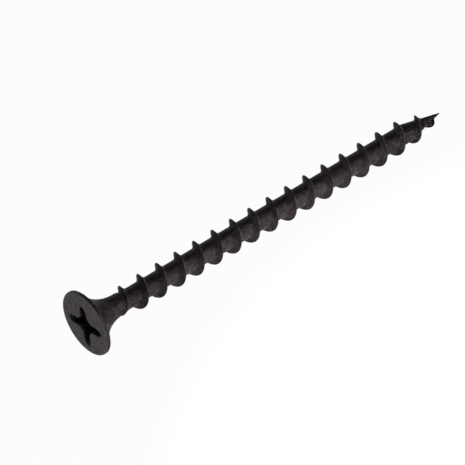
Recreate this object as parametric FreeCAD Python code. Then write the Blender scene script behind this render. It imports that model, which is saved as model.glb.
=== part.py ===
import FreeCAD, Part

import math
import os

# A drywall screw with a bugle head, a cross recess and a coarse thread, lying on its side.
# It is one piece of steel. It is modelled upright, with the flat face of the head at
# height 0 and the point above it, and is then laid down the way it comes to rest: on the
# rim of its head and on the crests of its last full turns.
# In the finished frame +Z is up and +X runs from the head to the point. Lengths are in
# millimetres and angles in degrees. Angles round the axis start at the side that faces
# down when the screw lies.

# Head
OVERALL_LENGTH = 55.0          # from the flat face to the point
HEAD_DIAMETER = 8.45
RIM_THICKNESS = 0.32           # edge of the head, with its chamfer
RIM_CHAMFER = 0.1
FLARE_ANGLE = 61.5             # from the axis to the underside of the head, at the rim
NECK_DIAMETER = 2.68           # plain shank, as wide as the wire before the thread is rolled
NECK_LENGTH = 0.15
NECK_TAPER_LENGTH = 0.5        # where the neck narrows to the core

# Thread
CORE_DIAMETER = 2.4
THREAD_DIAMETER = 3.9
THREAD_PITCH = 2.85
THREAD_HAND = -1               # -1 is left-hand and 1 is right-hand
FLANK_ANGLE = 30.0             # from a flank to a plane across the axis
CREST_WIDTH = 0.08
ROOT_SINK = 0.25               # how deep the foot of the ridge lies inside the core
RUN_IN_OVERLAP = 1.85          # how far the thread starts before the end of the flare
RUN_IN_LENGTH = 3.3            # where the thread grows to its full height
THREAD_START_TURN = 143.0      # angle at which the thread starts
POINTS_PER_TURN = 6            # points through which each edge of the thread is drawn

# Point
POINT_ANGLE = 24.5             # included angle of the cone
POINT_FLAT = 0.1               # width of the blunt end
FADE_LEAD = 3.2                # how far before the cone the thread starts to grow lower
FADE_SHARE = 0.28              # share of its height that the thread has lost at its end
THREAD_END_GAP = 0.95          # from the end of the thread to the point
RUN_OUT_LENGTH = 0.55          # where the thread sinks into the cone

# Cross recess
WING_COUNT = 4
RECESS_SPAN = 5.4              # across two wings, at the face
RECESS_FLOOR_SPAN = 2.3        # across two wings, at the floor
RECESS_EDGE_ANGLE = 26.5       # from the outer edge of a wing to the axis
WING_FLOOR_WIDTH = 0.75
WING_SIDE_ANGLE = 2.9          # from the side of a wing to the axis
RECESS_CORE_DIAMETER = 2.5     # round middle, at the face
RECESS_CORE_ANGLE = 12.0       # from the wall of the middle to the axis
RECESS_POINT_ANGLE = 138.0     # included angle of the cone at the floor
RECESS_TURN = 74.1             # angle of the first wing
CUTTER_RISE = 1.0              # how far the recess's cutter stands out of the face

# Worked out from the sizes above
head_radius = HEAD_DIAMETER / 2
neck_radius = NECK_DIAMETER / 2
core_radius = CORE_DIAMETER / 2
thread_radius = THREAD_DIAMETER / 2
flare = math.radians(FLARE_ANGLE)
flare_end = RIM_THICKNESS + (head_radius - neck_radius) / math.tan(flare / 2)
flare_corner = RIM_THICKNESS + (head_radius - neck_radius) / math.tan(flare)
neck_end = flare_end + NECK_LENGTH
point_slope = math.tan(math.radians(POINT_ANGLE / 2))
point_start = OVERALL_LENGTH - (core_radius - POINT_FLAT / 2) / point_slope
thread_start = flare_end - RUN_IN_OVERLAP
thread_end = OVERALL_LENGTH - THREAD_END_GAP
fade_start = point_start - FADE_LEAD

ORIGIN = FreeCAD.Vector(0, 0, 0)
AXIS = FreeCAD.Vector(0, 0, 1)
ALONG = 1                      # both edges of a ruled face run the same way


def closed_polygon(corners):
    """A closed wire of straight lines through the corners."""
    return Part.makePolygon(corners + corners[:1])


def core_radius_at(height):
    """Radius of the core, and of the cone of the point, at a height."""
    cone = POINT_FLAT / 2 + (OVERALL_LENGTH - height) * point_slope
    return min(core_radius, cone)


def crest_radius_at(height):
    """Radius of the crest: it rises under the head and grows lower towards the point."""
    rise = min(1.0, (height - thread_start) / RUN_IN_LENGTH)
    fade = max(0.0, (height - fade_start) / (thread_end - fade_start))
    sink = min(1.0, (thread_end - height) / RUN_OUT_LENGTH)
    ridge = (thread_radius - core_radius) * rise * (1 - FADE_SHARE * fade) * sink
    return core_radius_at(height) + ridge


def turned_body():
    """The head, the neck, the core and the point, turned from one profile."""

    def at(radius, height):
        return FreeCAD.Vector(radius, 0, height)

    flare_curve = Part.BezierCurve()
    flare_curve.setPoles([
        at(head_radius, RIM_THICKNESS),
        at(neck_radius, flare_corner),
        at(neck_radius, flare_end),
    ])
    rim = [
        at(0, 0),
        at(head_radius - RIM_CHAMFER, 0),
        at(head_radius, RIM_CHAMFER),
        at(head_radius, RIM_THICKNESS),
    ]
    shank = [
        at(neck_radius, flare_end),
        at(neck_radius, neck_end),
        at(core_radius, neck_end + NECK_TAPER_LENGTH),
        at(core_radius, point_start),
        at(POINT_FLAT / 2, OVERALL_LENGTH),
        at(0, OVERALL_LENGTH),
        at(0, 0),
    ]
    profile = Part.Wire([
        *Part.makePolygon(rim).Edges,
        flare_curve.toShape(),
        *Part.makePolygon(shank).Edges,
    ])
    return Part.Face(profile).revolve(ORIGIN, AXIS, 360)


def thread_section(height):
    """The corners of the ridge where it is cut along the axis: foot, crest, crest, foot."""
    turns = (height - thread_start) / THREAD_PITCH
    angle = math.radians(THREAD_START_TURN + THREAD_HAND * 360 * turns)
    crest = crest_radius_at(height)
    foot = core_radius_at(height) - min(ROOT_SINK, core_radius_at(height) / 2)
    half_crest = CREST_WIDTH / 2
    half_foot = half_crest + (crest - foot) * math.tan(math.radians(FLANK_ANGLE))
    corners = [
        (foot, -half_foot),
        (crest, -half_crest),
        (crest, half_crest),
        (foot, half_foot),
    ]
    return [
        FreeCAD.Vector(radius * math.cos(angle), radius * math.sin(angle), height + offset)
        for radius, offset in corners
    ]


def thread():
    """The ridge of the thread, with a face per turn for each flank and the crest."""
    turns = (thread_end - thread_start) / THREAD_PITCH
    steps = math.ceil(turns * POINTS_PER_TURN)
    places = [step / steps for step in range(steps + 1)]
    sections = [
        thread_section(thread_start + (thread_end - thread_start) * place)
        for place in places
    ]
    curves = []
    for line in zip(*sections):
        curve = Part.BSplineCurve()
        curve.interpolate(Points=list(line), Parameters=places)
        curves.append(curve)
    faces = [
        Part.Face(closed_polygon(sections[0])),
        Part.Face(closed_polygon(sections[-1])),
    ]
    for first in range(0, steps, POINTS_PER_TURN):
        last = min(first + POINTS_PER_TURN, steps)
        edges = [curve.toShape(places[first], places[last]) for curve in curves]
        for edge, neighbour in zip(edges, edges[1:] + edges[:1]):
            faces.append(Part.makeRuledSurface(edge, neighbour, ALONG))
    shell = Part.Shell(faces)
    shell.sewShape()
    ridge = Part.Solid(shell)
    if ridge.Volume < 0:
        ridge.reverse()
    return ridge


def recess_wing(floor, top):
    """Cutter for one wing of the recess, narrower and thinner towards the floor."""
    edge_slope = math.tan(math.radians(RECESS_EDGE_ANGLE))
    side_slope = math.tan(math.radians(WING_SIDE_ANGLE))
    sections = []
    for height in (floor, top):
        reach = RECESS_FLOOR_SPAN / 2 + (floor - height) * edge_slope
        half_width = WING_FLOOR_WIDTH / 2 + (floor - height) * side_slope
        sections.append(closed_polygon([
            FreeCAD.Vector(0, -half_width, height),
            FreeCAD.Vector(reach, -half_width, height),
            FreeCAD.Vector(reach, half_width, height),
            FreeCAD.Vector(0, half_width, height),
        ]))
    return Part.makeLoft(sections, True, True)


def recess():
    """Cutter for the cross recess: the wings round a tapered middle with a coned floor."""
    edge_slope = math.tan(math.radians(RECESS_EDGE_ANGLE))
    core_slope = math.tan(math.radians(RECESS_CORE_ANGLE))
    floor = (RECESS_SPAN - RECESS_FLOOR_SPAN) / 2 / edge_slope
    top = -CUTTER_RISE
    floor_radius = RECESS_CORE_DIAMETER / 2 - floor * core_slope
    top_radius = RECESS_CORE_DIAMETER / 2 - top * core_slope
    cone_depth = floor_radius / math.tan(math.radians(RECESS_POINT_ANGLE / 2))
    middle = Part.makeCone(top_radius, floor_radius, floor - top, FreeCAD.Vector(0, 0, top))
    bottom = Part.makeCone(floor_radius, 0, cone_depth, FreeCAD.Vector(0, 0, floor))
    wings = []
    for index in range(WING_COUNT):
        wing = recess_wing(floor, top)
        wing.rotate(ORIGIN, AXIS, RECESS_TURN + 360 * index / WING_COUNT)
        wings.append(wing)
    return middle.multiFuse([bottom] + wings).removeSplitter()


def lying_tilt():
    """How far the point leans down when the rim and a crest of the thread both touch."""
    first_turn = (-THREAD_HAND * THREAD_START_TURN / 360) % 1
    height = thread_start + first_turn * THREAD_PITCH
    tilt = 90.0
    while height < thread_end:
        gap = head_radius - crest_radius_at(height)
        tilt = min(tilt, math.degrees(math.atan2(gap, height - RIM_THICKNESS)))
        height += THREAD_PITCH
    return tilt


def screw():
    """The whole screw, laid down, with the middle of its footprint at the origin."""
    body = turned_body().fuse(thread()).cut(recess())
    if len(body.Solids) != 1:
        raise ValueError("the screw must be one solid")
    body = body.Solids[0]
    body.rotate(ORIGIN, FreeCAD.Vector(0, 1, 0), 90 + lying_tilt())
    box = body.optimalBoundingBox(False, False)
    body.translate(FreeCAD.Vector(-box.Center.x, -box.Center.y, -box.ZMin))
    return body


os.makedirs("parts", exist_ok=True)
screw().exportStep("parts/screw.step")
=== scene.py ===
"""A drywall screw of black phosphated steel, lying on a pale floor in soft studio light."""

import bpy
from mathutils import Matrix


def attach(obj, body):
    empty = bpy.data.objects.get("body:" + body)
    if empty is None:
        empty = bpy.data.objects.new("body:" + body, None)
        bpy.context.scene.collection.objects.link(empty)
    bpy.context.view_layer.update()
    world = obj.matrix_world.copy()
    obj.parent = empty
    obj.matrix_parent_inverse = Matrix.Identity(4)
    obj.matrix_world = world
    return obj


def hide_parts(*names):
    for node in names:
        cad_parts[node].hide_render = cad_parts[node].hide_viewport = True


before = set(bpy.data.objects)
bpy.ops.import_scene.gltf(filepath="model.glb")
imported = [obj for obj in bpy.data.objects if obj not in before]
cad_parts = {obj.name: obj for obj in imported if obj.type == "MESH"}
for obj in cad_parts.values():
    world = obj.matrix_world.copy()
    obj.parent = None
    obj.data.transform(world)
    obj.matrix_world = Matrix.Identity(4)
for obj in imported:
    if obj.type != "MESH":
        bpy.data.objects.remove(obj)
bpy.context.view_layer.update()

import logging
import math
from dataclasses import dataclass, field
from enum import Enum

import bmesh
import bpy
from mathutils import Matrix, Vector

log = logging.getLogger("drywall_screw")

MILLIMETRE = 0.001
MERGE_DISTANCE = 1e-4
DEGENERATE_DISTANCE = 1e-5
PLACE_TOLERANCE = 1e-3
SMOOTH_ANGLE = math.radians(38)

MIX_SOCKET_OF_FIRST_COLOUR = 6
MIX_SOCKET_OF_SECOND_COLOUR = 7
MIX_SOCKET_OF_RESULT = 2

Colour = tuple[float, float, float, float]


class Hand(Enum):
    """The way in which the thread winds round the core."""

    LEFT = -1
    RIGHT = 1


def deselect_everything() -> None:
    """Leave edit mode and deselect every object."""
    if bpy.context.mode != "OBJECT":
        bpy.ops.object.mode_set(mode="OBJECT")
    bpy.ops.object.select_all(action="DESELECT")


def pick(thing: bpy.types.Object) -> None:
    """Make one object the active and only selected one.

    Args:
        thing: The object.
    """
    deselect_everything()
    thing.select_set(True)
    bpy.context.view_layer.objects.active = thing


def face_outwards(thing: bpy.types.Object) -> None:
    """Turn all faces of a closed mesh outwards.

    Args:
        thing: The object, which is left as the selected one.
    """
    pick(thing)
    bpy.ops.object.mode_set(mode="EDIT")
    bpy.ops.mesh.select_all(action="SELECT")
    bpy.ops.mesh.normals_make_consistent(inside=False)
    bpy.ops.object.mode_set(mode="OBJECT")


def select_ring(thing: bpy.types.Object, height: float) -> None:
    """Select the ring of open edges at one height.

    Args:
        thing: The object in edit mode.
        height: Distance of the ring from the face of the head.
    """
    bpy.ops.mesh.select_all(action="DESELECT")
    shape = bmesh.from_edit_mesh(thing.data)
    for edge in shape.edges:
        level = all(abs(v.co.z - height) < PLACE_TOLERANCE for v in edge.verts)
        if edge.is_boundary and level:
            edge.select_set(True)
    bmesh.update_edit_mesh(thing.data)


def close_ring(thing: bpy.types.Object, height: float) -> None:
    """Close the ring of open edges at one height.

    Args:
        thing: The object, open there.
        height: Distance of the ring from the face of the head.
    """
    pick(thing)
    bpy.ops.object.mode_set(mode="EDIT")
    select_ring(thing, height)
    bpy.ops.mesh.edge_face_add()
    bpy.ops.object.mode_set(mode="OBJECT")


def smooth_larger(first: float, second: float, blend: float) -> float:
    """The larger of two lengths, with a fillet where they are about the same.

    Args:
        first: One length.
        second: The other length.
        blend: How far apart they are where the fillet ends.

    Returns:
        The larger length, raised a little where the two meet.
    """
    share = max(blend - abs(first - second), 0.0) / blend
    return max(first, second) + share * share * blend / 4


@dataclass(frozen=True)
class LyingPlace:
    """Where the screw lies: the middle of its face, and how far the point leans down."""

    tilt: float = math.radians(2.801879)
    face_middle: tuple[float, float, float] = (-27.367527, 0.0, 4.235592)

    def axis(self) -> Vector:
        """The direction from the head to the point."""
        return Vector((math.cos(self.tilt), 0.0, -math.sin(self.tilt)))

    def matrix(self) -> Matrix:
        """The move from the upright screw in millimetres to the floor in metres.

        Returns:
            A matrix whose first axis is the side of the screw that faces down.
        """
        down = Vector((-math.sin(self.tilt), 0.0, -math.cos(self.tilt)))
        side = Vector((0.0, 1.0, 0.0))
        turned = Matrix((down, side, self.axis())).transposed().to_4x4()
        placed = Matrix.Translation(Vector(self.face_middle) * MILLIMETRE)
        return placed @ turned @ Matrix.Scale(MILLIMETRE, 4)


@dataclass
class ThreadedShank:
    """The flare under the head, the neck, the threaded core and the point, as one skin."""

    overall_length: float = 55.0
    head_radius: float = 4.225
    rim_thickness: float = 0.42
    flare_angle: float = math.radians(62.56)
    neck_radius: float = 1.34
    neck_length: float = 0.15
    neck_taper_length: float = 0.5
    core_radius: float = 1.2
    thread_radius: float = 1.95
    pitch: float = 2.85
    hand: Hand = Hand.LEFT
    flank_angle: float = math.radians(30)
    crest_round: float = 0.045
    root_fillet: float = 0.3
    run_in_overlap: float = 1.85
    run_in_length: float = 3.3
    start_turn: float = math.radians(143)
    point_angle: float = math.radians(24.5)
    point_radius: float = 0.05
    fade_lead: float = 3.2
    fade_share: float = 0.28
    end_gap: float = 0.95
    run_out_length: float = 0.55
    columns: int = 96
    row_offsets: tuple[float, ...] = (
        0.03, 0.07, 0.13, 0.21, 0.3, 0.39, 0.46, 0.53, 0.62, 0.78, 1.0, 1.22,
    )

    def __post_init__(self) -> None:
        """Work out the heights at which one form gives way to the next."""
        width = self.head_radius - self.neck_radius
        self.flare_end = self.rim_thickness + width / math.tan(self.flare_angle / 2)
        self.flare_corner = self.rim_thickness + width / math.tan(self.flare_angle)
        self.neck_end = self.flare_end + self.neck_length
        self.slope = math.tan(self.point_angle / 2)
        self.point_start = (
            self.overall_length - (self.core_radius - self.point_radius) / self.slope
        )
        self.thread_start = self.flare_end - self.run_in_overlap
        self.thread_end = self.overall_length - self.end_gap
        self.fade_start = self.point_start - self.fade_lead

    def flare_radius_at(self, height: float) -> float:
        """The radius of the hollow flare under the head.

        Args:
            height: Distance from the face of the head.

        Returns:
            The radius, on a parabola that is tangent to the neck.
        """
        bend = self.rim_thickness - 2 * self.flare_corner + self.flare_end
        lean = 2 * (self.flare_corner - self.rim_thickness)
        root = lean * lean - 4 * bend * (self.rim_thickness - height)
        place = (math.sqrt(max(root, 0.0)) - lean) / (2 * bend)
        return self.neck_radius + (1 - place) ** 2 * (self.head_radius - self.neck_radius)

    def core_radius_at(self, height: float) -> float:
        """The radius of the core, or of the cone of the point."""
        cone = self.point_radius + (self.overall_length - height) * self.slope
        return min(self.core_radius, cone)

    def body_radius_at(self, height: float) -> float:
        """The radius of the screw without its thread.

        Args:
            height: Distance from the face of the head.

        Returns:
            The radius of the flare, neck, core or point.
        """
        if height <= self.flare_end:
            return self.flare_radius_at(height)
        if height <= self.neck_end:
            return self.neck_radius
        taper = (height - self.neck_end) / self.neck_taper_length
        if taper < 1:
            return self.neck_radius + (self.core_radius - self.neck_radius) * taper
        return self.core_radius_at(height)

    def crest_radius_at(self, height: float) -> float:
        """The radius of the crest of the thread.

        Args:
            height: Distance of the middle of the crest from the face of the head.

        Returns:
            The radius, which rises under the head and falls towards the point.
        """
        rise = min(1.0, max(0.0, (height - self.thread_start) / self.run_in_length))
        fade = max(0.0, (height - self.fade_start) / (self.thread_end - self.fade_start))
        sink = min(1.0, max(0.0, (self.thread_end - height) / self.run_out_length))
        full = self.thread_radius - self.core_radius
        ridge = full * rise * (1 - self.fade_share * fade) * sink
        buried = self.root_fillet * (1 - min(rise, sink))
        return self.core_radius_at(height) + ridge - buried

    def first_crest(self, angle: float) -> float:
        """The height of the lowest crest on one side of the screw.

        Args:
            angle: The side, as an angle round the axis.

        Returns:
            The height of the first crest there above the start of the thread.
        """
        turns = (self.hand.value * (angle - self.start_turn) / math.tau) % 1
        return self.thread_start + turns * self.pitch

    def radius_at(self, height: float, angle: float) -> float:
        """The radius of the finished skin.

        Args:
            height: Distance from the face of the head.
            angle: Angle round the axis.

        Returns:
            The radius of the body, or of the thread where it stands out further.
        """
        body = self.body_radius_at(height)
        first = self.first_crest(angle)
        turn = round((height - first) / self.pitch)
        crest = first + turn * self.pitch
        if not self.thread_start <= crest <= self.thread_end:
            return body
        across = math.hypot(height - crest, self.crest_round) - self.crest_round
        ridge = self.crest_radius_at(crest) - across / math.tan(self.flank_angle)
        return smooth_larger(body, ridge, self.root_fillet)

    def profile_heights(self) -> list[float]:
        """The heights of the rows of the skin at angle zero, close together at each crest.

        Returns:
            Heights that repeat with the pitch, from under the rim to past the point.
        """
        middle = self.first_crest(0.0)
        offsets = sorted(
            [0.0, self.pitch / 2]
            + list(self.row_offsets)
            + [-offset for offset in self.row_offsets]
        )
        first = math.floor((self.rim_thickness - middle) / self.pitch) - 1
        last = math.ceil((self.overall_length - middle) / self.pitch) + 1
        return [
            middle + turn * self.pitch + offset
            for turn in range(first, last + 1)
            for offset in offsets
        ]

    def build(self) -> bpy.types.Object:
        """Sweep the row heights once round the axis and press the skin into shape.

        Returns:
            The skin from the rim to the point, open at both ends, upright, in millimetres.
        """
        heights = self.profile_heights()
        line = bpy.data.meshes.new("screw_skin")
        line.from_pydata(
            [(1.0, 0.0, height) for height in heights],
            [(row, row + 1) for row in range(len(heights) - 1)],
            [],
        )
        skin = bpy.data.objects.new("screw", line)
        bpy.context.collection.objects.link(skin)
        pick(skin)
        sweep = skin.modifiers.new("sweep", "SCREW")
        sweep.axis = "Z"
        sweep.angle = math.tau
        sweep.screw_offset = self.hand.value * self.pitch
        sweep.steps = self.columns
        sweep.render_steps = self.columns
        sweep.use_merge_vertices = False
        bpy.ops.object.modifier_apply(modifier=sweep.name)
        self.weld()
        for vertex in skin.data.vertices:
            angle = math.atan2(vertex.co.y, vertex.co.x)
            column = round(angle / math.tau * self.columns)
            angle = column * math.tau / self.columns
            height = min(max(vertex.co.z, self.rim_thickness), self.overall_length)
            radius = self.radius_at(height, angle)
            vertex.co = (radius * math.cos(angle), radius * math.sin(angle), height)
        self.weld()
        return skin

    def weld(self) -> None:
        """Merge the points of the active skin that lie on each other."""
        bpy.ops.object.mode_set(mode="EDIT")
        bpy.ops.mesh.select_all(action="SELECT")
        bpy.ops.mesh.remove_doubles(threshold=MERGE_DISTANCE)
        bpy.ops.mesh.dissolve_degenerate(threshold=DEGENERATE_DISTANCE)
        bpy.ops.object.mode_set(mode="OBJECT")


@dataclass
class BugleHead:
    """The thin rim of the head and its flat face, grown from the open end of the flare."""

    edge_round: float = 0.2
    edge_steps: int = 4
    face_ring: float = 0.93

    def build(self, skin: bpy.types.Object, radius: float, rim_thickness: float) -> None:
        """Extrude the rim, round its edge and close the face.

        Args:
            skin: The skin of the shank, open at the rim.
            radius: The radius of the head.
            rim_thickness: Distance of the open end from the face.
        """
        pick(skin)
        bpy.ops.object.mode_set(mode="EDIT")
        select_ring(skin, rim_thickness)
        self.extrude_ring(self.edge_round - rim_thickness, 1.0)
        inner = radius
        height = self.edge_round
        for step in range(1, self.edge_steps + 1):
            turn = math.pi / 2 * step / self.edge_steps
            reach = radius - self.edge_round * (1 - math.cos(turn))
            lower = self.edge_round * (1 - math.sin(turn))
            self.extrude_ring(lower - height, reach / inner)
            inner = reach
            height = lower
        self.extrude_ring(0.0, self.face_ring)
        bpy.ops.mesh.edge_face_add()
        bpy.ops.object.mode_set(mode="OBJECT")

    def extrude_ring(self, rise: float, share: float) -> None:
        """Extrude the selected ring of edges.

        Args:
            rise: How far the new ring lies above the old one.
            share: The new radius as a share of the old one.
        """
        bpy.ops.mesh.extrude_edges_move(
            TRANSFORM_OT_translate={"value": (0.0, 0.0, rise)}
        )
        bpy.ops.transform.resize(value=(share, share, 1.0), center_override=(0.0, 0.0, 0.0))


@dataclass(frozen=True)
class RecessLevel:
    """One outline of the recess: its depth, and how its mouth and wing ends open there."""

    depth: float
    spread: float = 0.0
    tip: float = 0.0


@dataclass
class CrossRecess:
    """The cross recess: four drafted wings round a tapered middle, with a soft mouth.

    It lies a little off the middle of the head, and one wing is shorter than the others.
    """

    wings: int = 4
    span: float = 5.4
    floor_span: float = 2.3
    edge_angle: float = math.radians(26.5)
    floor_width: float = 0.75
    side_angle: float = math.radians(2.9)
    core_radius: float = 1.25
    core_angle: float = math.radians(12)
    core_margin: float = 1.12
    core_points: int = 2
    point_angle: float = math.radians(138)
    point_share: float = 0.8
    turn: float = math.radians(74.1)
    rise: float = 1.0
    corner_points: int = 4
    side_points: int = 7
    corner_round: float = 0.12
    corner_limit: float = 0.95
    offset: tuple[float, float] = (0.28, 0.03)
    wing_reach: tuple[float, ...] = (0.0, -0.3, 0.0, 0.0)
    mouth: tuple[RecessLevel, ...] = (
        RecessLevel(0.0, 0.06, 0.42),
        RecessLevel(0.03, 0.03, 0.36),
        RecessLevel(0.09, 0.01, 0.28),
        RecessLevel(0.2, 0.0, 0.2),
        RecessLevel(0.5, 0.0, 0.08),
    )
    wall_shares: tuple[float, ...] = (0.35, 0.7, 0.96, 1.0)
    floor_shares: tuple[float, ...] = (0.66, 0.33)

    def floor_depth(self) -> float:
        """How deep the flat ends of the wings reach."""
        return (self.span - self.floor_span) / 2 / math.tan(self.edge_angle)

    def floor_drop(self) -> float:
        """How much deeper the cone of the floor is in its middle."""
        return self.core_radius / math.tan(self.point_angle / 2)

    def middle(self) -> Vector:
        """The middle of the recess, on the face of the head."""
        return Vector((*self.offset, 0.0))

    def wing_end(self, level: RecessLevel, reach: float, half: float) -> list[tuple[float, float]]:
        """Half of the rounded end of a wing, which tapers near the face.

        Args:
            level: The depth and the opening of the outline.
            reach: How far the wing reaches without its taper.
            half: Half of the wing's width.

        Returns:
            Points from the middle of the end to the side of the wing.
        """
        rounding = min(self.corner_round + level.tip, half * self.corner_limit)
        points = [(reach + level.tip, 0.0)]
        for step in range(self.corner_points + 1):
            angle = math.pi / 2 * step / self.corner_points
            along = reach - rounding * (1 - math.cos(angle))
            taper = (1 - step / self.corner_points) ** 2
            points.append((along + level.tip * taper, half - rounding * (1 - math.sin(angle))))
        if points[1][1] < MERGE_DISTANCE:
            points.pop(1)
        return points

    def half_wing(self, level: RecessLevel, extra: float) -> list[tuple[float, float]]:
        """Half of one wing's outline, from the middle of its end to the round middle.

        Args:
            level: The depth and the opening of the outline.
            extra: How much further this wing reaches at the face.

        Returns:
            Points as distance along the wing and distance to its side.
        """
        above = self.floor_depth() - level.depth
        reach = self.floor_span / 2 + above * math.tan(self.edge_angle) + level.spread
        reach += extra * min(1.0, max(0.0, above / self.floor_depth()))
        half = self.floor_width / 2 + above * math.tan(self.side_angle) + level.spread
        core = self.core_radius - level.depth * math.tan(self.core_angle) + level.spread
        core = max(core, half * self.core_margin)
        points = self.wing_end(level, reach, half)
        meet = math.sqrt(core * core - half * half)
        start = points[-1][0]
        for step in range(1, self.side_points + 1):
            points.append((start + (meet - start) * step / self.side_points, half))
        edge = math.atan2(half, meet)
        between = math.pi / self.wings
        for step in range(1, self.core_points + 1):
            angle = edge + (between - edge) * step / self.core_points
            points.append((core * math.cos(angle), core * math.sin(angle)))
        return points

    def outline(self, level: RecessLevel) -> list[Vector]:
        """The closed outline of the recess at one depth.

        Args:
            level: The depth and the opening of the outline.

        Returns:
            Its points in order round the axis.
        """
        points = []
        for index in range(self.wings):
            half = self.half_wing(level, self.wing_reach[index])
            wing = [(x, -y) for x, y in reversed(half[1:-1])] + half
            spin = Matrix.Rotation(self.turn + math.tau * index / self.wings, 4, "Z")
            points += [spin @ Vector((x, y, level.depth)) for x, y in wing]
        return [point + self.middle() for point in points]

    def levels(self) -> list[RecessLevel]:
        """The outlines from above the face to the floor of the recess.

        Returns:
            One level above the face, those of the mouth and those of the walls.
        """
        lip = self.mouth[0]
        above = RecessLevel(-self.rise, lip.spread, lip.tip)
        walls = [RecessLevel(self.floor_depth() * share) for share in self.wall_shares]
        return [above, *self.mouth, *walls]

    def floor_rings(self, floor: list[Vector]) -> list[list[Vector]]:
        """The rings inside the lowest outline, where the floor sinks to its middle.

        Args:
            floor: The lowest outline of the recess.

        Returns:
            One ring for each of the floor's shares.
        """
        middle = self.middle()
        reach = max((point - middle).xy.length for point in floor)
        rings = []
        for share in self.floor_shares:
            drop = self.floor_drop() * (1 - share)
            rings.append([
                Vector((
                    middle.x + (point.x - middle.x) * share,
                    middle.y + (point.y - middle.y) * share,
                    point.z + drop * (point - middle).xy.length / reach,
                ))
                for point in floor
            ])
        return rings

    def cutter(self) -> bpy.types.Object:
        """The solid that is cut out of the head.

        Returns:
            A closed solid, upright, in millimetres.
        """
        rings = [self.outline(level) for level in self.levels()]
        floor = rings[-1]
        rings += self.floor_rings(floor)
        count = len(rings[0])
        faces = [list(range(count))]
        for level in range(len(rings) - 1):
            low = level * count
            for index in range(count):
                after = (index + 1) % count
                faces.append([low + index, low + count + index, low + count + after, low + after])
        points = [point for ring in rings for point in ring]
        deepest = floor[0].z + self.floor_drop() * self.point_share
        points.append(Vector((*self.offset, deepest)))
        last = (len(rings) - 1) * count
        for index in range(count):
            faces.append([last + index, len(points) - 1, last + (index + 1) % count])
        shape = bpy.data.meshes.new("recess_cutter")
        shape.from_pydata([tuple(point) for point in points], [], faces)
        cutter = bpy.data.objects.new("recess_cutter", shape)
        bpy.context.collection.objects.link(cutter)
        face_outwards(cutter)
        return cutter

    def cut(self, skin: bpy.types.Object) -> None:
        """Cut the recess out of the head.

        Args:
            skin: The closed skin of the screw.
        """
        cutter = self.cutter()
        pick(skin)
        hollow = skin.modifiers.new("hollow", "BOOLEAN")
        hollow.operation = "DIFFERENCE"
        hollow.solver = "EXACT"
        hollow.object = cutter
        bpy.ops.object.modifier_apply(modifier=hollow.name)
        bpy.data.objects.remove(cutter)


class NodeSheet:
    """A node tree that is filled node by node."""

    def __init__(self, tree: bpy.types.NodeTree) -> None:
        """Keep the tree and empty it."""
        self.tree = tree
        tree.nodes.clear()

    def add(self, kind: str, settings: dict | None = None, **values: object) -> bpy.types.Node:
        """Add a node.

        Args:
            kind: The node's type.
            settings: The node's own settings by name.
            values: Socket values by name, where _ stands for a space. A socket of
                another node is linked.

        Returns:
            The new node.
        """
        node = self.tree.nodes.new(kind)
        for name, value in (settings or {}).items():
            setattr(node, name, value)
        for name, value in values.items():
            self.feed(node.inputs[name.replace("_", " ")], value)
        return node

    def feed(self, socket: bpy.types.NodeSocket, value: object) -> None:
        """Set a socket's value, or link another node's socket to it.

        Args:
            socket: The input to fill.
            value: A plain value, or the output of another node.
        """
        if isinstance(value, bpy.types.NodeSocket):
            self.tree.links.new(value, socket)
        else:
            socket.default_value = value

    def blend(self, share: object, first: object, second: object) -> bpy.types.NodeSocket:
        """Mix two colours.

        Args:
            share: The share of the second colour.
            first: The first colour.
            second: The second colour.

        Returns:
            The socket with the mixed colour.
        """
        node = self.add("ShaderNodeMix", {"data_type": "RGBA"})
        self.feed(node.inputs["Factor"], share)
        self.feed(node.inputs[MIX_SOCKET_OF_FIRST_COLOUR], first)
        self.feed(node.inputs[MIX_SOCKET_OF_SECOND_COLOUR], second)
        return node.outputs[MIX_SOCKET_OF_RESULT]

    def work_out(self, operation: str, first: object, second: object) -> bpy.types.NodeSocket:
        """Work out one sum.

        Args:
            operation: The kind of sum.
            first: The first number.
            second: The second number.

        Returns:
            The socket with the result, kept between 0 and 1.
        """
        node = self.add("ShaderNodeMath", {"operation": operation, "use_clamp": True})
        self.feed(node.inputs[0], first)
        self.feed(node.inputs[1], second)
        return node.outputs[0]

    def stretch(self, value: object, limits: tuple[float, float]) -> bpy.types.NodeSocket:
        """Stretch the middle of a pattern's values to the whole range from 0 to 1.

        Args:
            value: The pattern.
            limits: The values that become 0 and 1.

        Returns:
            The socket with the stretched pattern.
        """
        low, high = limits
        node = self.add("ShaderNodeMapRange", Value=value, From_Min=low, From_Max=high)
        return node.outputs[0]


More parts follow.
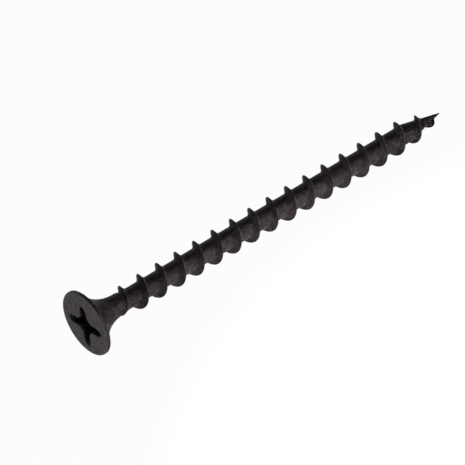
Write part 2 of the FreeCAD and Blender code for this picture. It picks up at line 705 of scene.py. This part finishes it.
@dataclass(frozen=True)
class CrystalGroup:
    """The clouds and the fine crystals of a phosphate coat, as one node group."""

    name: str = "crystal_coat"
    cloud_detail: float = 4.0
    cloud_roughness: float = 0.6
    cloud_limits: tuple[float, float] = (0.36, 0.64)
    grain_detail: float = 3.0
    grain_roughness: float = 0.65
    grain_limits: tuple[float, float] = (0.3, 0.7)

    def build(self) -> bpy.types.NodeTree:
        """Make the group, or find it.

        Returns:
            A group that puts out a cloud mask, a grain mask and a height.
        """
        known = bpy.data.node_groups.get(self.name)
        if known:
            return known
        tree = bpy.data.node_groups.new(self.name, "ShaderNodeTree")
        face = tree.interface
        face.new_socket("Vector", in_out="INPUT", socket_type="NodeSocketVector")
        for name in ("Cloud Scale", "Grain Scale"):
            face.new_socket(name, in_out="INPUT", socket_type="NodeSocketFloat")
        for name in ("Cloud", "Grain", "Height"):
            face.new_socket(name, in_out="OUTPUT", socket_type="NodeSocketFloat")
        sheet = NodeSheet(tree)
        given = sheet.add("NodeGroupInput")
        place = given.outputs["Vector"]
        cloud = sheet.add(
            "ShaderNodeTexNoise",
            Vector=place,
            Scale=given.outputs["Cloud Scale"],
            Detail=self.cloud_detail,
            Roughness=self.cloud_roughness,
        )
        grain = sheet.add(
            "ShaderNodeTexNoise",
            Vector=place,
            Scale=given.outputs["Grain Scale"],
            Detail=self.grain_detail,
            Roughness=self.grain_roughness,
        )
        crystals = sheet.add(
            "ShaderNodeTexVoronoi", Vector=place, Scale=given.outputs["Grain Scale"]
        )
        grains = sheet.stretch(grain.outputs[0], self.grain_limits)
        sheet.add(
            "NodeGroupOutput",
            Cloud=sheet.stretch(cloud.outputs[0], self.cloud_limits),
            Grain=grains,
            Height=sheet.work_out("MULTIPLY", crystals.outputs["Distance"], grains),
        )
        return tree


@dataclass(frozen=True)
class PhosphateFinish:
    """A finish of black phosphate: a satin coat of fine crystals, cloudy in places, and darkened
    by painted shade where the piece marks it.

    Its edges have a tone of their own: dark where they are rolled, paler where they are rubbed.
    """

    name: str
    dark: Colour
    warm: Colour
    cool: Colour
    edge_tone: Colour
    edge_share: float
    cloud_scale: float
    bump: float
    # Near-black colour painted in as shade, in the recess and in the flare under the head.
    painted_shade_colour: Colour = (0.0029, 0.0021, 0.0025, 1.0)
    grain_scale: float = 5200.0
    grain_share: float = 0.3
    tint_ratio: float = 1.9
    tint_detail: float = 2.0
    tint_roughness: float = 0.5
    tint_limits: tuple[float, float] = (0.4, 0.6)
    smoothest: float = 0.44
    roughest: float = 0.58
    bump_depth: float = 0.00002
    refraction: float = 1.45
    gloss: float = 0.045

    def tone(
        self, sheet: NodeSheet, coat: bpy.types.Node, place: bpy.types.NodeSocket
    ) -> bpy.types.NodeSocket:
        """The colour of the coat before the painted shade darkens it.

        Args:
            sheet: The material's nodes.
            coat: The crystal group in them.
            place: Where on the piece the colour is asked for.

        Returns:
            The socket with the colour.
        """
        tint = sheet.add(
            "ShaderNodeTexNoise",
            Vector=place,
            Scale=self.cloud_scale * self.tint_ratio,
            Detail=self.tint_detail,
            Roughness=self.tint_roughness,
        )
        pale = sheet.blend(
            sheet.stretch(tint.outputs[0], self.tint_limits), self.warm, self.cool
        )
        cloudy = sheet.blend(coat.outputs["Cloud"], self.dark, pale)
        pits = sheet.work_out("MULTIPLY", coat.outputs["Grain"], self.grain_share)
        grained = sheet.blend(pits, cloudy, self.dark)
        edge = sheet.add("ShaderNodeAttribute", {"attribute_name": "edge"}).outputs["Fac"]
        worn = sheet.work_out("MULTIPLY", edge, coat.outputs["Grain"])
        worn = sheet.work_out("MULTIPLY", worn, self.edge_share)
        return sheet.blend(worn, grained, self.edge_tone)

    def build(self) -> bpy.types.Material:
        """Make the material.

        Returns:
            The material, on Object coordinates and the piece's own attributes.
        """
        material = bpy.data.materials.new(self.name)
        material.use_nodes = True
        sheet = NodeSheet(material.node_tree)
        place = sheet.add("ShaderNodeTexCoord").outputs["Object"]
        coat = sheet.add("ShaderNodeGroup", {"node_tree": CrystalGroup().build()})
        sheet.feed(coat.inputs["Vector"], place)
        sheet.feed(coat.inputs["Cloud Scale"], self.cloud_scale)
        sheet.feed(coat.inputs["Grain Scale"], self.grain_scale)
        # Painted shade: a point attribute that darkens the recess and the flare under the head
        # towards a near-black colour.
        painted_shade = sheet.add("ShaderNodeAttribute", {"attribute_name": "painted_shade"}).outputs["Fac"]
        rough = sheet.add(
            "ShaderNodeMapRange",
            Value=coat.outputs["Grain"],
            To_Min=self.smoothest,
            To_Max=self.roughest,
        )
        bump = sheet.add(
            "ShaderNodeBump",
            Strength=self.bump,
            Distance=self.bump_depth,
            Height=coat.outputs["Height"],
        )
        steel = sheet.add(
            "ShaderNodeBsdfPrincipled",
            Base_Color=sheet.blend(painted_shade, self.tone(sheet, coat, place), self.painted_shade_colour),
            Roughness=rough.outputs[0],
            Normal=bump.outputs[0],
            Metallic=0.0,
            IOR=self.refraction,
            Specular_IOR_Level=self.gloss,
        )
        sheet.add("ShaderNodeOutputMaterial", Surface=steel.outputs[0])
        return material


SHANK_FINISH = PhosphateFinish(
    name="phosphated_shank",
    dark=(0.0186, 0.0129, 0.0146, 1.0),
    warm=(0.0486, 0.0379, 0.0407, 1.0),
    cool=(0.04, 0.0371, 0.0386, 1.0),
    edge_tone=(0.0186, 0.0157, 0.0171, 1.0),
    edge_share=1.0,
    cloud_scale=1900.0,
    bump=0.35,
)

FACE_FINISH = PhosphateFinish(
    name="phosphated_face",
    dark=(0.04, 0.0329, 0.0371, 1.0),
    warm=(0.08, 0.0643, 0.0743, 1.0),
    cool=(0.0571, 0.065, 0.065, 1.0),
    edge_tone=(0.107, 0.1, 0.104, 1.0),
    edge_share=0.5,
    cloud_scale=1500.0,
    bump=0.3,
)


@dataclass
class DrywallScrew:
    """The whole screw: one piece of steel."""

    shank: ThreadedShank = field(default_factory=ThreadedShank)
    head: BugleHead = field(default_factory=BugleHead)
    recess: CrossRecess = field(default_factory=CrossRecess)
    place: LyingPlace = field(default_factory=LyingPlace)
    crest_start: float = 0.6
    wall_depth: float = 0.1
    recess_margin: float = 2.0
    # Painted shade in the recess: the depth at which it reaches full darkness.
    painted_shade_depth: float = 0.45
    # Painted shade under the head: how dark the flare is where it meets the rim.
    flare_painted_shade: float = 0.85
    face_slope: float = -0.6
    face_depth: float = 0.06

    def build(self) -> bpy.types.Object:
        """Model the screw upright, mark its edges and its painted shade, and lay it down.

        Returns:
            The finished piece, at the origin with its place in its mesh.
        """
        skin = self.shank.build()
        self.head.build(skin, self.shank.head_radius, self.shank.rim_thickness)
        close_ring(skin, self.shank.overall_length)
        face_outwards(skin)
        self.recess.cut(skin)
        bpy.ops.object.shade_smooth_by_angle(angle=SMOOTH_ANGLE)
        self.mark(skin)
        self.dress(skin)
        skin.data.transform(self.place.matrix())
        skin.data.update()
        return skin

    def edge_at(self, radius: float, height: float) -> float:
        """How near a point is to the crest of the thread or to the edge of the head.

        Args:
            radius: Distance from the axis.
            height: Distance from the face of the head.

        Returns:
            A share from 0 to 1.
        """
        shank = self.shank
        if height <= shank.rim_thickness:
            return float(radius > shank.head_radius - 2 * self.head.edge_round)
        over = radius - shank.body_radius_at(height)
        if over <= -PLACE_TOLERANCE:
            return 0.0
        share = over / (shank.thread_radius - shank.core_radius)
        return max(0.0, share - self.crest_start) / (1 - self.crest_start)

    def painted_shade_at(self, radius: float, height: float) -> float:
        """How much painted shade a point gets, in the recess or in the hollow of the flare under
        the head.

        Args:
            radius: Distance from the axis.
            height: Distance from the face of the head.

        Returns:
            A share from 0 to 1.
        """
        shank = self.shank
        rim = shank.rim_thickness
        wall = shank.body_radius_at(max(height, rim)) - self.wall_depth
        below = self.recess.floor_depth() + self.recess_margin
        # Painted shade in the recess, growing darker with depth.
        if radius < wall and PLACE_TOLERANCE < height < below:
            return min(1.0, height / self.painted_shade_depth)
        # Painted shade in the flare under the head, strongest at the rim and fading towards the
        # neck.
        if rim < height < shank.flare_end:
            return self.flare_painted_shade * (1 - (height - rim) / (shank.flare_end - rim))
        return 0.0

    def mark(self, skin: bpy.types.Object) -> None:
        """Write how near each point is to an edge, and how much painted shade it gets.

        Args:
            skin: The upright screw, in millimetres.
        """
        edge = skin.data.attributes.new("edge", "FLOAT", "POINT")
        # This attribute holds painted shade for the recess and the flare under the head.
        painted_shade = skin.data.attributes.new("painted_shade", "FLOAT", "POINT")
        for vertex in skin.data.vertices:
            radius = vertex.co.xy.length
            edge.data[vertex.index].value = self.edge_at(radius, vertex.co.z)
            painted_shade.data[vertex.index].value = self.painted_shade_at(radius, vertex.co.z)

    def dress(self, skin: bpy.types.Object) -> None:
        """Give the face its paler finish and the rest the dark one.

        Args:
            skin: The upright screw, in millimetres.
        """
        skin.data.materials.clear()
        skin.data.materials.append(SHANK_FINISH.build())
        skin.data.materials.append(FACE_FINISH.build())
        for face in skin.data.polygons:
            on_face = face.normal.z < self.face_slope and face.center.z < self.face_depth
            face.material_index = int(on_face)


@dataclass(frozen=True)
class SoftLamp:
    """A soft square lamp that looks at the screw, with its place and size in metres."""

    name: str
    place: tuple[float, float, float]
    size: float
    power: float

    def hang(self) -> None:
        """Hang the lamp in the room."""
        lamp = bpy.data.lights.new(self.name, "AREA")
        lamp.size = self.size
        lamp.energy = self.power
        hung = bpy.data.objects.new(self.name, lamp)
        bpy.context.collection.objects.link(hung)
        hung.location = self.place
        hung.rotation_euler = (-Vector(self.place)).to_track_quat("-Z", "Y").to_euler()


@dataclass(frozen=True)
class FloorSpot:
    """A spot lamp whose patch on the floor throws light up under the screw."""

    name: str = "bounce_lamp"
    place: tuple[float, float, float] = (0.009, -0.068, 0.5)
    power: float = 333.0
    angle: float = math.radians(13.2)
    blend: float = 0.3
    size: float = 0.01

    def hang(self) -> None:
        """Hang the lamp over its patch, looking straight down."""
        lamp = bpy.data.lights.new(self.name, "SPOT")
        lamp.energy = self.power
        lamp.spot_size = self.angle
        lamp.spot_blend = self.blend
        lamp.shadow_soft_size = self.size
        hung = bpy.data.objects.new(self.name, lamp)
        bpy.context.collection.objects.link(hung)
        hung.location = self.place


@dataclass
class Studio:
    """The pale floor, the soft light and the camera."""

    floor_size: float = 6.0
    floor_colour: Colour = (0.86, 0.86, 0.86, 1.0)
    floor_glow: float = 0.97
    white: Colour = (1.0, 1.0, 1.0, 1.0)
    sky: Colour = (0.9, 0.92, 0.95, 1.0)
    sky_level: float = 0.059
    lamps: tuple[SoftLamp | FloorSpot, ...] = (
        SoftLamp("key_lamp", (-0.75, 0.0, 0.041), 0.06, 2.3),
        SoftLamp("side_lamp", (-0.7, -0.28, 0.02), 0.2, 1.96),
        SoftLamp("back_lamp", (0.15, 0.7, 0.12), 0.3, 1.4),
        FloorSpot(),
    )
    photo_width: int = 465
    focal_pixels: float = 8537.8
    distance: float = 1.0
    elevation: float = math.radians(49.37)
    azimuth: float = math.radians(40.0)
    head_in_picture: tuple[float, float] = (84.99, 324.07)
    sensor_width: float = 36.0
    far_end: float = 20.0

    def seen(self, sheet: NodeSheet) -> bpy.types.NodeSocket:
        """A switch that is on for what is seen directly, in a gloss or through glass.

        Args:
            sheet: The nodes to which the switch is added.

        Returns:
            The socket with 1 for such rays and 0 for light that falls on the screw.
        """
        path = sheet.add("ShaderNodeLightPath")
        direct = sheet.work_out(
            "ADD", path.outputs["Is Camera Ray"], path.outputs["Is Glossy Ray"]
        )
        return sheet.work_out("ADD", direct, path.outputs["Is Transmission Ray"])

    def lay_floor(self) -> None:
        """Lay the floor, which looks white and keeps a little of the screw's shadow."""
        deselect_everything()
        bpy.ops.mesh.primitive_plane_add(size=self.floor_size, location=(0.0, 0.0, 0.0))
        floor = bpy.context.active_object
        floor.name = "pale_floor"
        material = bpy.data.materials.new("pale_floor")
        material.use_nodes = True
        sheet = NodeSheet(material.node_tree)
        matt = sheet.add("ShaderNodeBsdfDiffuse", Color=self.floor_colour)
        glow = sheet.add("ShaderNodeEmission", Color=self.white, Strength=1.0)
        share = sheet.work_out("MULTIPLY", self.seen(sheet), self.floor_glow)
        mix = sheet.add("ShaderNodeMixShader")
        sheet.feed(mix.inputs[0], share)
        sheet.feed(mix.inputs[1], matt.outputs[0])
        sheet.feed(mix.inputs[2], glow.outputs[0])
        sheet.add("ShaderNodeOutputMaterial", Surface=mix.outputs[0])
        floor.data.materials.append(material)

    def hang_sky(self) -> None:
        """Light the room softly from all round, behind a white backdrop."""
        world = bpy.data.worlds.new("soft_room")
        world.use_nodes = True
        sheet = NodeSheet(world.node_tree)
        dim = sheet.add("ShaderNodeBackground", Color=self.sky, Strength=self.sky_level)
        white = sheet.add("ShaderNodeBackground", Color=self.white, Strength=1.0)
        mix = sheet.add("ShaderNodeMixShader")
        sheet.feed(mix.inputs[0], self.seen(sheet))
        sheet.feed(mix.inputs[1], dim.outputs[0])
        sheet.feed(mix.inputs[2], white.outputs[0])
        sheet.add("ShaderNodeOutputWorld", Surface=mix.outputs[0])
        bpy.context.scene.world = world

    def set_camera(self, head_middle: Vector) -> None:
        """Place the camera where it sees the head and the point as the picture does.

        Args:
            head_middle: The middle of the head's face, in metres.
        """
        flat = math.cos(self.elevation)
        forward = Vector((
            flat * math.sin(self.azimuth),
            flat * math.cos(self.azimuth),
            -math.sin(self.elevation),
        ))
        right = Vector((math.cos(self.azimuth), -math.sin(self.azimuth), 0.0))
        down = forward.cross(right)
        half = self.photo_width / 2
        across, under = (
            (pixel - half) / self.focal_pixels * self.distance
            for pixel in self.head_in_picture
        )
        lens = bpy.data.cameras.new("camera")
        lens.sensor_width = self.sensor_width
        lens.lens = self.focal_pixels * self.sensor_width / self.photo_width
        lens.clip_end = self.far_end
        camera = bpy.data.objects.new("camera", lens)
        bpy.context.collection.objects.link(camera)
        turned = Matrix((right, -down, -forward)).transposed().to_4x4()
        stand = head_middle - right * across - down * under - forward * self.distance
        camera.matrix_world = Matrix.Translation(stand) @ turned
        bpy.context.scene.camera = camera

    def build(self, head_middle: Vector) -> None:
        """Set up the floor, the light and the camera.

        Args:
            head_middle: The middle of the head's face, in metres.
        """
        self.lay_floor()
        self.hang_sky()
        for lamp in self.lamps:
            lamp.hang()
        self.set_camera(head_middle)
        bpy.context.scene.view_settings.view_transform = "Standard"


def main() -> None:
    """Build the screw and the studio round it."""
    logging.basicConfig(level=logging.INFO, format="%(message)s")
    screw = DrywallScrew()
    piece = screw.build()
    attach(piece, "root")
    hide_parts("screw")
    triangles = sum(len(face.vertices) - 2 for face in piece.data.polygons)
    log.info("%s: %d triangles", piece.name, triangles)
    studio = Studio()
    studio.build(Vector(screw.place.face_middle) * MILLIMETRE)
    log.info("studio: floor, %d lamps and camera", len(studio.lamps))


if __name__ == "__main__":
    main()
